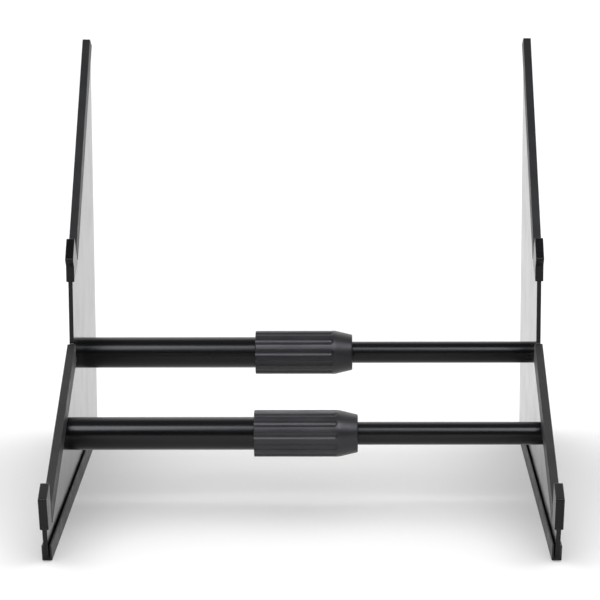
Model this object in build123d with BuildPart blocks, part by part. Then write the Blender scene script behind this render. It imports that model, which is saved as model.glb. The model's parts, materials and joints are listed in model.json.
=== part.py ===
from build123d import *
from math import cos, radians, sin
import os

# Two-tier tabletop stand with a telescoping width. Millimetres.
# X runs along the two cross bars, Y runs from the front to the back, Z is up.
# The origin is on the floor, in the middle of the stand's width and depth.

# ---- side plates, seen from the side as (Y, Z) ----
plate_gauge = 2.7
plate_inner_x = 144.35
rear_y = 166.3
riser_y = 16.4
top_front_z = 269.1
top_rear_z = 262.2
plate_bottom_z = 1.2

lower_angle = 21.2
upper_angle = 45.0
lower_corner = (-144.7, 30.3)
upper_corner = (31.7, 148.4)
hook_width = 17.0
lower_lip = 17.3
upper_lip = 13.5
hook_tip_radius = 1.4
relief_width = 2.8
relief_depth = 11.5

# ---- rubber trims, boots and base strips ----
trim_wall = 1.15
trim_flange = 12.5
trim_end_gap = 2.3
top_cut_skew = 4.8
boot_wall = 1.2
boot_cheek = 12.4
boot_front_drop = 3.8
boot_leg_bottom_z = 130.9
boot_edge_round = 0.5
trim_edge_round = 0.5
base_edge_round = 0.35
base_flange_z = 9.8
base_gap = 0.85
base_inner_wall = 1.0
base_rear_y = 146.0

# ---- cross bars ----
lower_bar = (-35.2, 46.7)
upper_bar = (89.8, 70.6)
outer_radius = 10.0
inner_radius = 7.0
tube_wall = 1.2
outer_tube_end_x = -8.0
inner_tube_end_x = -75.0
lower_joint_x = 1.3
upper_joint_x = -1.5
lower_flute_turn = 22.2
upper_flute_turn = 18.8
slide_clearance = 0.1
turn_clearance = 0.4

# ---- twist-lock collars: X measured from a joint's own middle ----
grip_left_x = -31.5
grip_right_x = 31.5
grip_taper_x = 20.0
grip_radius = 14.2
grip_nose_radius = 11.5
grip_shoulder_round = 11.0
flute_count = 12
flute_radius = 3.6
flute_depth = 1.0
flute_end_x = 16.8
sleeve_left_x = -26.0
sleeve_shoulder_x = -3.0
sleeve_radius = 11.3
finger_cone_x = 8.0
finger_end_x = 24.0
finger_radius = 9.8
finger_tip_radius = 8.6
finger_slot = 1.2

# ---- screws and inserts ----
screw_radius = 3.0
screw_hole_radius = 3.2
screw_head_radius = 5.4
screw_head_height = 2.8
screw_length = 14.0
socket_radius = 2.0
socket_depth = 1.6
insert_length = 16.0
glide_length = 14.0

plate_outer_x = plate_inner_x + plate_gauge
trim_inner_x = plate_inner_x - trim_wall
trim_width = plate_gauge + 2 * trim_wall
base_inner_x = plate_inner_x - base_gap - base_inner_wall
base_width = plate_outer_x + trim_wall - base_inner_x
boot_inner_x = plate_inner_x - boot_wall
boot_width = plate_gauge + 2 * boot_wall

os.makedirs("parts", exist_ok=True)


def save(builder, name):
    """Label a finished piece and write it to its own file."""
    builder.part.label = name
    export_step(builder.part, f"parts/{name}.step")


def on_tier(corner, angle, along, height):
    """The (Y, Z) point that lies along a sloping rest and above its face."""
    run = radians(angle)
    y = corner[0] + along * cos(run) - height * sin(run)
    z = corner[1] + along * sin(run) + height * cos(run)
    return (y, z)


def lower(along, height):
    return on_tier(lower_corner, lower_angle, along, height)


def upper(along, height):
    return on_tier(upper_corner, upper_angle, along, height)


def lower_front(z, inset):
    """The point of the straight front edge at height z, set in from the rubber's face."""
    along = inset - hook_width
    height = (z - lower_corner[1] - along * sin(radians(lower_angle))) / cos(radians(lower_angle))
    return lower(along, height)


def upper_at_z(z, inset):
    """The point of the upper rest's face at height z, set in below the rubber's face."""
    along = (z - upper_corner[1] + inset * cos(radians(upper_angle))) / sin(radians(upper_angle))
    return upper(along, -inset)


def lower_at_y(y, inset):
    """The point of the lower rest's face at depth y, set in below the rubber's face."""
    along = (y - lower_corner[0] - inset * sin(radians(lower_angle))) / cos(radians(lower_angle))
    return lower(along, -inset)


def side_plane(x):
    """The plane that a side plate's profile is drawn on, with its own axes along Y and Z."""
    return Plane.YZ.offset(x)


def slab_start(side, inner_x, width):
    """Where a slab of a given width starts in X, on the left (-1) or right (1) side."""
    return inner_x if side > 0 else -inner_x - width


def riser_hook_bend(inset):
    """The point where the riser turns forward into the upper hook."""
    y = riser_y - inset
    along = boot_wall - hook_width - inset
    height = (upper_corner[0] + along * cos(radians(upper_angle)) - y) / sin(radians(upper_angle))
    return upper(along, height)


# ---- side plates ----
outline = [
    lower_front(plate_bottom_z, boot_wall),
    lower(boot_wall - hook_width, lower_lip - boot_wall),
    lower(-boot_wall, lower_lip - boot_wall),
    lower(-boot_wall, -relief_depth),
    lower(relief_width - boot_wall, -relief_depth),
    lower(relief_width - boot_wall, -trim_wall),
    lower_at_y(riser_y, trim_wall),
    riser_hook_bend(0),
    upper(boot_wall - hook_width, upper_lip - boot_wall),
    upper(-boot_wall, upper_lip - boot_wall),
    upper(-boot_wall, -relief_depth),
    upper(relief_width - boot_wall, -relief_depth),
    upper(relief_width - boot_wall, -trim_wall),
    upper_at_z(top_front_z - trim_wall, trim_wall),
    (rear_y, top_rear_z),
    (rear_y, plate_bottom_z),
]
relief_radius = 0.45 * relief_width
hook_inner_radius = hook_tip_radius - boot_wall
corner_radii = [
    1.0,
    0.8,
    hook_inner_radius,
    relief_radius,
    relief_radius,
    0.6,
    2.0,
    4.0,
    0.8,
    hook_inner_radius,
    relief_radius,
    relief_radius,
    0.6,
    0.8,
    2.0,
    1.2,
]


def side_plate(side, name):
    """A zig-zag sheet with two sloping rests, two hooks and a hole for each bar's screw."""
    start = slab_start(side, plate_inner_x, plate_gauge)
    with BuildPart() as plate:
        with BuildSketch(side_plane(start)):
            with BuildLine():
                FilletPolyline(*outline, radius=corner_radii, close=True)
            make_face()
            with Locations(lower_bar, upper_bar):
                Circle(screw_hole_radius, mode=Mode.SUBTRACT)
        extrude(amount=plate_gauge)
    save(plate, name)
    return plate.part


# ---- rubber pieces on the plate edges ----
def edge_trim(side, plate, place, end, skew, angle, name):
    """A U-shaped strip along a sloping rest. Its top end is cut square, or at a skew."""
    with BuildPart() as trim:
        with BuildSketch(side_plane(slab_start(side, trim_inner_x, trim_width))):
            with BuildLine():
                Polyline(
                    place(trim_start, 0),
                    place(end, 0),
                    place(end + skew, -trim_flange),
                    place(trim_start, -trim_flange),
                    close=True,
                )
            make_face()
        extrude(amount=trim_width)
        run = Axis((0, 0, 0), (0, cos(radians(angle)), sin(radians(angle))))
        rise = Axis((0, 0, 0), (0, -sin(radians(angle)), cos(radians(angle))))
        fillet(trim.edges().filter_by(run).sort_by(rise)[-2:], trim_edge_round)
        add(plate, mode=Mode.SUBTRACT)
    save(trim, name)


def hook_boot(side, plate, points, radii, name):
    """A moulded cap over a hook, open where the plate runs up into it."""
    start = slab_start(side, boot_inner_x, boot_width)
    with BuildPart() as boot:
        with BuildSketch(side_plane(start)):
            with BuildLine():
                FilletPolyline(*points, radius=radii, close=True)
            make_face()
        extrude(amount=boot_width)
        fillet(boot.faces().filter_by(Axis.X).edges(), boot_edge_round)
        add(plate, mode=Mode.SUBTRACT)
    save(boot, name)


def base_strip(side, plate, name):
    """The foot strip under the plate: a channel wider than the plate, open at its front end."""
    start = slab_start(side, base_inner_x, base_width)
    gap_start = slab_start(side, plate_inner_x - base_gap, base_gap)
    with BuildPart() as strip:
        with BuildSketch(side_plane(start)):
            with BuildLine():
                FilletPolyline(
                    lower_front(base_flange_z, boot_wall),
                    lower_front(0, boot_wall),
                    (base_rear_y, 0),
                    (base_rear_y, base_flange_z),
                    radius=[0.5, 1.2, 1.2, 0.5],
                    close=True,
                )
            make_face()
        extrude(amount=base_width)
        fillet(strip.faces().filter_by(Axis.X).edges(), base_edge_round)
        with BuildSketch(side_plane(gap_start)):
            with Locations((0, plate_bottom_z)):
                Rectangle(3 * rear_y, base_flange_z, align=(Align.CENTER, Align.MIN))
        extrude(amount=base_gap, mode=Mode.SUBTRACT)
        add(plate, mode=Mode.SUBTRACT)
    save(strip, name)


lower_boot_points = [
    lower(-hook_width, -boot_front_drop),
    lower(-hook_width, lower_lip),
    lower(0, lower_lip),
    lower(0, -boot_cheek),
]
lower_boot_radii = [0.6, 1.2, hook_tip_radius, 2.0]

bend_y, bend_z = riser_hook_bend(boot_wall)
upper_boot_points = [
    (bend_y, boot_leg_bottom_z),
    (bend_y, bend_z),
    upper(-hook_width, upper_lip),
    upper(0, upper_lip),
    upper(0, -boot_cheek),
]
upper_boot_radii = [0.6, 2.6, 1.2, hook_tip_radius, 2.0]

trim_start = relief_width - boot_wall
lower_trim_end = (riser_y - trim_end_gap - lower_corner[0]) / cos(radians(lower_angle))
upper_trim_end = (top_front_z - upper_corner[1]) / sin(radians(upper_angle))

for side, word in ((-1, "left"), (1, "right")):
    plate = side_plate(side, f"{word}_side_plate")
    edge_trim(side, plate, lower, lower_trim_end, 0, lower_angle, f"{word}_lower_trim")
    edge_trim(side, plate, upper, upper_trim_end, top_cut_skew, upper_angle, f"{word}_upper_trim")
    hook_boot(side, plate, lower_boot_points, lower_boot_radii, f"{word}_lower_boot")
    hook_boot(side, plate, upper_boot_points, upper_boot_radii, f"{word}_upper_boot")
    base_strip(side, plate, f"{word}_base_strip")


# ---- cross bars: everything here is turned about a bar's own axis ----
def bar_plane(bar, x=0):
    """A plane through a bar's axis: its own x runs along the bar, its own y is the radius."""
    return Plane(origin=(x, bar[0], bar[1]), x_dir=(1, 0, 0), z_dir=(0, -1, 0))


def bar_axis(bar):
    return Axis((0, bar[0], bar[1]), (1, 0, 0))


def turned(bar, *profile, x=0):
    """Turn a closed profile of (x, radius) points about the bar's axis."""
    with BuildSketch(bar_plane(bar, x)) as section:
        with BuildLine():
            Polyline(*profile, close=True)
        make_face()
    revolve(section.sketch, axis=bar_axis(bar))


def ring(bar, x_start, x_end, r_in, r_out):
    """A plain ring or, with no inner radius, a plain disc on the bar's axis."""
    turned(bar, (x_start, r_in), (x_end, r_in), (x_end, r_out), (x_start, r_out))


outer_bore = outer_radius - tube_wall
inner_bore = inner_radius - tube_wall
insert_inner_x = plate_inner_x - insert_length


def cross_tubes(bar, joint_x, word):
    """The wide tube on the left plate and the slim tube on the right plate."""
    with BuildPart() as outer_tube:
        ring(bar, -plate_inner_x, joint_x + outer_tube_end_x, outer_bore, outer_radius)
    save(outer_tube, f"{word}_outer_tube")

    with BuildPart() as inner_tube:
        ring(bar, inner_tube_end_x, plate_inner_x, inner_bore, inner_radius)
    save(inner_tube, f"{word}_inner_tube")


def end_inserts(bar, word):
    """The tapped plugs pressed into the two tube ends that meet the plates."""
    with BuildPart() as outer_insert:
        ring(bar, -plate_inner_x, -insert_inner_x, screw_radius, outer_bore)
    save(outer_insert, f"{word}_outer_insert")

    with BuildPart() as inner_insert:
        ring(bar, insert_inner_x, plate_inner_x, screw_radius, inner_bore)
    save(inner_insert, f"{word}_inner_insert")


def glide_bush(bar, word):
    """The bush that closes the slim tube's hidden end and centres it in the wide tube."""
    cap_x = inner_tube_end_x - 2.0
    skirt_x = cap_x + glide_length
    glide_radius = outer_bore - slide_clearance
    with BuildPart() as glide:
        ring(bar, cap_x, inner_tube_end_x, 0, glide_radius)
        ring(bar, inner_tube_end_x, skirt_x, inner_radius, glide_radius)
        ring(bar, inner_tube_end_x, skirt_x - 6.0, 0, inner_bore)
    save(glide, f"{word}_glide_bush")


def clamp_sleeve(bar, joint_x, word):
    """The sleeve on the wide tube's end: a threaded barrel, then four clamping fingers."""
    finger_bore = inner_radius + slide_clearance
    with BuildPart() as sleeve:
        turned(
            bar,
            (sleeve_left_x, outer_radius),
            (outer_tube_end_x, outer_radius),
            (outer_tube_end_x, finger_bore),
            (finger_end_x, finger_bore),
            (finger_end_x, finger_tip_radius),
            (finger_cone_x, finger_radius),
            (sleeve_shoulder_x, finger_radius),
            (sleeve_shoulder_x, sleeve_radius),
            (sleeve_left_x, sleeve_radius),
            x=joint_x,
        )
        thread_pitch = 3.0
        groove_x = sleeve_left_x + thread_pitch
        while groove_x < sleeve_shoulder_x - thread_pitch:
            with BuildSketch(bar_plane(bar, joint_x)):
                with Locations((groove_x, sleeve_radius)):
                    Rectangle(thread_pitch / 2, 1.2)
            revolve(axis=bar_axis(bar), mode=Mode.SUBTRACT)
            groove_x += thread_pitch
        slot_length = finger_end_x - finger_cone_x + 4.0
        with BuildSketch(Plane.YZ.offset(joint_x + finger_end_x)):
            with Locations(bar):
                Rectangle(finger_slot, 2 * finger_radius + 2)
                Rectangle(2 * finger_radius + 2, finger_slot)
        extrude(amount=-slot_length, mode=Mode.SUBTRACT)
    save(sleeve, f"{word}_clamp_sleeve")


def grip_collar(bar, joint_x, flute_turn, word):
    """The fluted nut that is twisted to squeeze the fingers onto the slim tube."""
    tube_bore = outer_radius + turn_clearance
    barrel_bore = sleeve_radius + turn_clearance
    finger_bore = finger_radius + turn_clearance
    tip_bore = finger_tip_radius + turn_clearance
    mouth_bore = inner_radius + turn_clearance
    barrel_left_x = sleeve_left_x - 2.0
    barrel_right_x = sleeve_shoulder_x + 1.0
    with BuildPart() as grip:
        with BuildSketch(bar_plane(bar, joint_x)) as half:
            with BuildLine():
                Polyline(
                    (grip_left_x, tube_bore),
                    (barrel_left_x, tube_bore),
                    (barrel_left_x, barrel_bore),
                    (barrel_right_x, barrel_bore),
                    (barrel_right_x, finger_bore),
                    (finger_cone_x, finger_bore),
                    (finger_end_x + 1.0, tip_bore),
                    (finger_end_x + 1.0, mouth_bore),
                    (grip_right_x, mouth_bore),
                    (grip_right_x, grip_nose_radius),
                    (grip_taper_x, grip_radius),
                    (grip_left_x, grip_radius),
                    close=True,
                )
            make_face()
            rim = half.vertices().sort_by(Axis.Y)
            left_rim = rim[-2:].sort_by(Axis.X)[0]
            fillet(left_rim, 0.6)
            nose = half.vertices().sort_by_distance((grip_right_x, grip_nose_radius))[0]
            fillet(nose, 0.9)
            shoulder = half.vertices().sort_by_distance((grip_taper_x, grip_radius))[0]
            fillet(shoulder, grip_shoulder_round)
        revolve(axis=bar_axis(bar))
        flute_reach = grip_radius - flute_depth + flute_radius
        with BuildSketch(Plane.YZ.offset(joint_x + grip_left_x - 1.0)):
            with Locations(bar):
                with PolarLocations(flute_reach, flute_count, start_angle=flute_turn):
                    Circle(flute_radius)
        extrude(amount=flute_end_x - grip_left_x + 1.0, mode=Mode.SUBTRACT)
        with Locations(Plane.YZ.offset(joint_x + flute_end_x)):
            with Locations(bar):
                with PolarLocations(flute_reach, flute_count, start_angle=flute_turn):
                    Sphere(flute_radius, mode=Mode.SUBTRACT)
    save(grip, f"{word}_grip_collar")


for bar, joint_x, flute_turn, word in (
    (lower_bar, lower_joint_x, lower_flute_turn, "lower"),
    (upper_bar, upper_joint_x, upper_flute_turn, "upper"),
):
    cross_tubes(bar, joint_x, word)
    end_inserts(bar, word)
    glide_bush(bar, word)
    clamp_sleeve(bar, joint_x, word)
    grip_collar(bar, joint_x, flute_turn, word)


def plate_screws(side, name):
    """Two button-head screws with hexagon sockets, one for each bar, through a side plate."""
    head_start = side * plate_outer_x
    head_end = side * (plate_outer_x + screw_head_height)
    shank_end = side * (plate_outer_x - screw_length)
    with BuildPart() as screws:
        for bar in (lower_bar, upper_bar):
            turned(
                bar,
                (shank_end, 0),
                (shank_end, screw_radius - 0.6),
                (shank_end + side * 0.6, screw_radius),
                (head_start, screw_radius),
                (head_start, screw_head_radius),
                (head_start + side * 1.0, screw_head_radius),
                (head_start + side * 2.2, screw_head_radius - 1.4),
                (head_end, socket_radius + 1.2),
                (head_end, 0),
            )
        with BuildSketch(Plane.YZ.offset(head_end)):
            with Locations(lower_bar, upper_bar):
                RegularPolygon(socket_radius, 6)
        extrude(amount=-side * socket_depth, mode=Mode.SUBTRACT)
    save(screws, name)


plate_screws(-1, "left_plate_screws")
plate_screws(1, "right_plate_screws")
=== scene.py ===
import json
from math import radians

import bpy
from mathutils import Matrix, Vector


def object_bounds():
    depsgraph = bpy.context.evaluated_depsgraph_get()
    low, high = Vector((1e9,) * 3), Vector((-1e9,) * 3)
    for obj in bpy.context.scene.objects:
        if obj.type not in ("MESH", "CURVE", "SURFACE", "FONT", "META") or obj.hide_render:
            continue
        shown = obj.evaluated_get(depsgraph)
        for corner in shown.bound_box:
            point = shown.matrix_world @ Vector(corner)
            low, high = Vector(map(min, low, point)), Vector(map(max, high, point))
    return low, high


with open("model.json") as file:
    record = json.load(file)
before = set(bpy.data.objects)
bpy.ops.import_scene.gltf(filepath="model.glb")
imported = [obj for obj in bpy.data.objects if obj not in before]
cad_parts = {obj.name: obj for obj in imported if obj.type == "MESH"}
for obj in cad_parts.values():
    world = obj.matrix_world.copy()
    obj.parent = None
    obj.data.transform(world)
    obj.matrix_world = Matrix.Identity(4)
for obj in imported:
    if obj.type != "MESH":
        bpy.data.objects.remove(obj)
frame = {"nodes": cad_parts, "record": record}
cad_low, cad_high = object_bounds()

nodes = frame["nodes"]
scene = bpy.context.scene


# ---- material helpers ----
class Shader:
    """A small wrapper that adds nodes to one Principled material and links them."""

    def __init__(self, name, **settings):
        self.material = bpy.data.materials.new(name)
        self.material.use_nodes = True
        self.tree = self.material.node_tree
        self.surface = self.tree.nodes["Principled BSDF"]
        for socket, value in settings.items():
            self.surface.inputs[socket.replace("_", " ")].default_value = value
        self.place = self.add("ShaderNodeTexCoord").outputs["Object"]

    def add(self, kind, **settings):
        node = self.tree.nodes.new(kind)
        for key, value in settings.items():
            setattr(node, key, value)
        return node

    def link(self, source, target):
        self.tree.links.new(source, target)

    def noise(self, scale, detail=4.0, rough=0.5, stretch=None):
        """Noise at a number of cells per metre, drawn out along an axis where stretch says so."""
        node = self.add("ShaderNodeTexNoise")
        node.inputs["Scale"].default_value = scale
        node.inputs["Detail"].default_value = detail
        node.inputs["Roughness"].default_value = rough
        if stretch:
            mapping = self.add("ShaderNodeMapping")
            mapping.inputs["Scale"].default_value = stretch
            self.link(self.place, mapping.inputs["Vector"])
            self.link(mapping.outputs["Vector"], node.inputs["Vector"])
        else:
            self.link(self.place, node.inputs["Vector"])
        return node.outputs["Fac"]

    def spread(self, source, low, high, start=0.3, end=0.7):
        """Stretches a value from start..end to low..high."""
        node = self.add("ShaderNodeMapRange")
        node.inputs["From Min"].default_value = start
        node.inputs["From Max"].default_value = end
        node.inputs["To Min"].default_value = low
        node.inputs["To Max"].default_value = high
        self.link(source, node.inputs["Value"])
        return node.outputs["Result"]

    def tint(self, source, dark, light):
        """Varies the base colour between two shades by a 0..1 value."""
        node = self.add("ShaderNodeMix", data_type="RGBA")
        node.inputs["A"].default_value = (*dark, 1)
        node.inputs["B"].default_value = (*light, 1)
        self.link(source, node.inputs["Factor"])
        self.link(node.outputs["Result"], self.surface.inputs["Base Color"])

    def roughen(self, source, low, high):
        """Varies the roughness between two values."""
        self.link(self.spread(source, low, high), self.surface.inputs["Roughness"])

    def bump(self, source, depth, strength):
        """Adds surface relief of a depth in metres, on top of any relief already there."""
        node = self.add("ShaderNodeBump")
        node.inputs["Distance"].default_value = depth
        node.inputs["Strength"].default_value = strength
        self.link(source, node.inputs["Height"])
        normal = self.surface.inputs["Normal"]
        if normal.is_linked:
            self.link(normal.links[0].from_socket, node.inputs["Normal"])
        self.link(node.outputs["Normal"], normal)


def gloss_sheet():
    """Gloss black coating on steel sheet: faint orange peel and haze."""
    s = Shader("gloss_black_sheet", Specular_IOR_Level=0.22)
    s.tint(s.spread(s.noise(9, 5), 0, 1), (0.004, 0.004, 0.005), (0.008, 0.008, 0.009))
    s.roughen(s.noise(35, 6, 0.6), 0.10, 0.16)
    s.bump(s.noise(420, 2, 0.4), 0.00003, 0.15)
    return s.material


def gloss_tube():
    """Gloss black coating on round tube, with fine polishing haze along its length."""
    s = Shader("black_tube", Specular_IOR_Level=0.32)
    s.tint(s.spread(s.noise(14, 4), 0, 1), (0.002, 0.002, 0.003), (0.005, 0.005, 0.006))
    s.roughen(s.noise(60, 5, 0.6, (0.1, 1, 1)), 0.21, 0.29)
    s.bump(s.noise(500, 2, 0.4), 0.00002, 0.15)
    return s.material


def rubber(name, dark, light, low, high, grain, specular):
    """Rubber: mottled black with a fine moulded grain."""
    s = Shader(name, Specular_IOR_Level=specular)
    s.tint(s.spread(s.noise(24, 6, 0.6), 0, 1), dark, light)
    s.roughen(s.noise(90, 5, 0.6), low, high)
    s.bump(s.noise(grain, 3, 0.55), 0.00006, 0.5)
    s.bump(s.noise(40, 3, 0.5), 0.0003, 0.15)
    return s.material


def grip_plastic():
    """Soft-touch dark grey plastic with a spark-eroded texture and a little handling shine."""
    s = Shader("grip_plastic", Specular_IOR_Level=0.45)
    s.tint(s.spread(s.noise(30, 5, 0.6), 0, 1), (0.013, 0.012, 0.015), (0.024, 0.022, 0.026))
    s.roughen(s.noise(55, 5, 0.6), 0.32, 0.44)
    s.bump(s.noise(1500, 3, 0.6), 0.00005, 0.45)
    return s.material


def nylon():
    """Dark moulded nylon."""
    s = Shader("nylon", Roughness=0.45)
    s.tint(s.spread(s.noise(50, 4), 0, 1), (0.07, 0.07, 0.07), (0.10, 0.10, 0.10))
    s.bump(s.noise(800, 2), 0.00003, 0.3)
    return s.material


def black_oxide():
    """Black oxide steel, a little browner and shinier where tools have touched it."""
    s = Shader("black_screw", Metallic=0.7)
    s.tint(s.spread(s.noise(300, 5, 0.6), 0, 1), (0.022, 0.022, 0.023), (0.055, 0.052, 0.048))
    s.roughen(s.noise(700, 4), 0.26, 0.45)
    s.bump(s.noise(1800, 2), 0.00002, 0.3)
    return s.material


def zinc():
    """Bright zinc plate."""
    s = Shader("zinc_steel", Metallic=1.0)
    s.tint(s.spread(s.noise(200, 5), 0, 1), (0.50, 0.50, 0.47), (0.62, 0.62, 0.62))
    s.roughen(s.noise(400, 4), 0.28, 0.42)
    return s.material


materials = {
    "gloss_black_sheet": gloss_sheet(),
    "black_tube": gloss_tube(),
    "edge_rubber": rubber(
        "edge_rubber", (0.009, 0.009, 0.010), (0.018, 0.018, 0.019), low=0.40, high=0.56, grain=900, specular=0.28
    ),
    "boot_rubber": rubber(
        "boot_rubber", (0.003, 0.003, 0.004), (0.007, 0.007, 0.008), low=0.20, high=0.30, grain=1200, specular=0.2
    ),
    "grip_plastic": grip_plastic(),
    "nylon": nylon(),
    "black_screw": black_oxide(),
    "zinc_steel": zinc(),
}
for part in frame["record"]["subparts"]:
    mesh = nodes[part["node"]].data
    mesh.materials.clear()
    mesh.materials.append(materials[part["material_slot"]])


# ---- floor, light and camera ----
def pale_floor():
    """A wide matte floor, a shade off white."""
    size = 12.0
    mesh = bpy.data.meshes.new("floor")
    corners = [(-size, -size, 0), (size, -size, 0), (size, size, 0), (-size, size, 0)]
    mesh.from_pydata(corners, [], [(0, 1, 2, 3)])
    floor = bpy.data.objects.new("floor", mesh)
    scene.collection.objects.link(floor)
    s = Shader("floor_paint", Roughness=0.8, Specular_IOR_Level=0.1)
    s.tint(s.spread(s.noise(3, 3), 0, 1), (0.89, 0.89, 0.89), (0.91, 0.91, 0.91))
    mesh.materials.append(s.material)


def studio_world():
    """White card behind the stand and at its sides, dim in front of it and overhead."""
    world = bpy.data.worlds.new("studio")
    world.use_nodes = True
    scene.world = world
    tree = world.node_tree
    background = tree.nodes["Background"]
    background.inputs["Color"].default_value = (1, 1, 1, 1)
    place = tree.nodes.new("ShaderNodeTexCoord")
    split = tree.nodes.new("ShaderNodeSeparateXYZ")
    tree.links.new(place.outputs["Generated"], split.inputs["Vector"])

    def ramp(axis, start, end, low, high):
        node = tree.nodes.new("ShaderNodeMapRange")
        node.interpolation_type = "SMOOTHSTEP"
        node.inputs["From Min"].default_value = start
        node.inputs["From Max"].default_value = end
        node.inputs["To Min"].default_value = low
        node.inputs["To Max"].default_value = high
        tree.links.new(split.outputs[axis], node.inputs["Value"])
        return node.outputs["Result"]

    product = tree.nodes.new("ShaderNodeMath")
    product.operation = "MULTIPLY"
    tree.links.new(ramp("Y", -0.45, 0.05, 0.06, 1.4), product.inputs[0])
    tree.links.new(ramp("Z", 0.72, 0.95, 1.0, 0.15), product.inputs[1])
    tree.links.new(product.outputs["Value"], background.inputs["Strength"])


def soft_light(name, place, target, width, height, power, colour=(1, 1, 1), mirrored=True, scattered=True):
    """A rectangular area light. It can be left out of reflections or of matte shading."""
    data = bpy.data.lights.new(name, "AREA")
    data.shape = "RECTANGLE"
    data.size = width
    data.size_y = height
    data.energy = power
    data.color = colour
    light = bpy.data.objects.new(name, data)
    scene.collection.objects.link(light)
    light.location = place
    light.visible_glossy = mirrored
    light.visible_diffuse = scattered
    aim = Vector(target) - Vector(place)
    light.rotation_euler = aim.to_track_quat("-Z", "Y").to_euler()


def view_camera():
    """A long lens a little above the stand, looking down at it from the front."""
    yaw, pitch, roll = radians(0.894), radians(10.893), radians(0.25)
    data = bpy.data.cameras.new("camera")
    data.sensor_width = 36.0
    data.lens = 163.4
    data.clip_end = 60.0
    camera = bpy.data.objects.new("camera", data)
    scene.collection.objects.link(camera)
    camera.location = (0.02313, -1.6480, 0.43979)
    level = Matrix.Rotation(yaw, 3, "Z") @ Matrix.Rotation(radians(90) - pitch, 3, "X")
    camera.rotation_euler = (level @ Matrix.Rotation(-roll, 3, "Z")).to_euler()
    scene.camera = camera


softbox_place = (0.45, -0.99, 1.31)
softbox_tint = (0.90, 0.94, 1.0)
target_height = 0.12

pale_floor()
studio_world()
middle = Vector(((cad_low[0] + cad_high[0]) / 2, (cad_low[1] + cad_high[1]) / 2, target_height))
for side, word in ((-1, "left"), (1, "right")):
    place = (side * softbox_place[0], *softbox_place[1:])
    soft_light(f"{word}_softbox", place, middle, 0.7, 0.8, 13.0, softbox_tint, scattered=False)
soft_light("back_wash", (0, 3.0, 5.0), (0, 3.0, 0), 10.0, 10.0, 275, mirrored=False)
soft_light("front_wash", (0, -3.5, 3.0), (0, 0, 0), 6.0, 3.0, 100, mirrored=False)
view_camera()
scene.view_settings.view_transform = "Standard"
